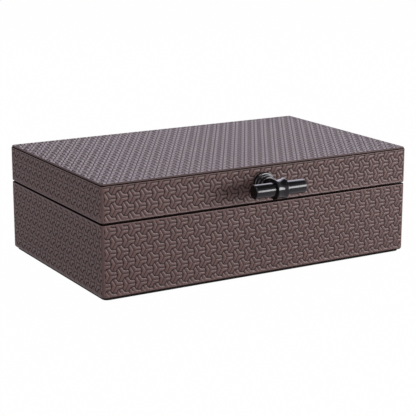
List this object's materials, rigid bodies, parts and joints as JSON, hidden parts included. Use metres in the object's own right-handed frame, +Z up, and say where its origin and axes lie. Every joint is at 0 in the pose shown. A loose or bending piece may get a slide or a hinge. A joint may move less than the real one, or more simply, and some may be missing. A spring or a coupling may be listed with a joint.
{
  "type": "storage box",
  "caption": "Low rectangular storage box wrapped in embossed brown leather, with a hinged lid, a padded lining and a black bar knob on the front.",
  "frame": {"origin": "middle of the felt face that the box stands on", "axes": "+X along the width to the right seen from the front, -Y towards the front with the knob, +Z up"},
  "size_m": [0.32, 0.2366, 0.1015],
  "materials": {
    "leather": "embossed, satin",
    "board": "raw fibreboard",
    "card": "raw greyboard",
    "lining": "short suede pile",
    "felt": "pressed felt",
    "hinge_metal": "brushed, dark nickel",
    "fixings": "zinc plated",
    "knob_metal": "semi-gloss black"
  },
  "bodies": {
    "base": {"base_felt": "felt", "base_floor_board": "board", "base_front_board": "board", "base_back_board": "board", "base_left_board": "board", "base_right_board": "board", "base_leather_wrap": "leather", "base_front_lining": "lining", "base_back_lining": "lining", "base_left_lining": "lining", "base_right_lining": "lining", "base_floor_pad": "lining", "hinge_left_base_leaf": "hinge_metal", "hinge_right_base_leaf": "hinge_metal", "hinge_left_pin": "hinge_metal", "hinge_right_pin": "hinge_metal", "hinge_base_screws": "fixings"},
    "lid": {"lid_roof_board": "board", "lid_front_board": "board", "lid_back_board": "board", "lid_left_board": "board", "lid_right_board": "board", "lid_leather_wrap": "leather", "lid_top_card": "card", "lid_top_leather": "leather", "lid_front_lining": "lining", "lid_back_lining": "lining", "lid_left_lining": "lining", "lid_right_lining": "lining", "lid_roof_pad": "lining", "hinge_left_lid_leaf": "hinge_metal", "hinge_right_lid_leaf": "hinge_metal", "hinge_lid_screws": "fixings", "knob_rosette": "knob_metal", "knob_post": "knob_metal", "knob_collar": "knob_metal", "knob_bar": "knob_metal", "knob_washer": "fixings", "knob_screw": "fixings"}
  },
  "joints": [
    {"name": "lid_hinge", "type": "hinge", "parent": "base", "child": "lid", "pos_m": [0, 0.1013, 0.0675], "axis": [-1, 0, 0], "range_deg": [0, 100]}
  ]
}
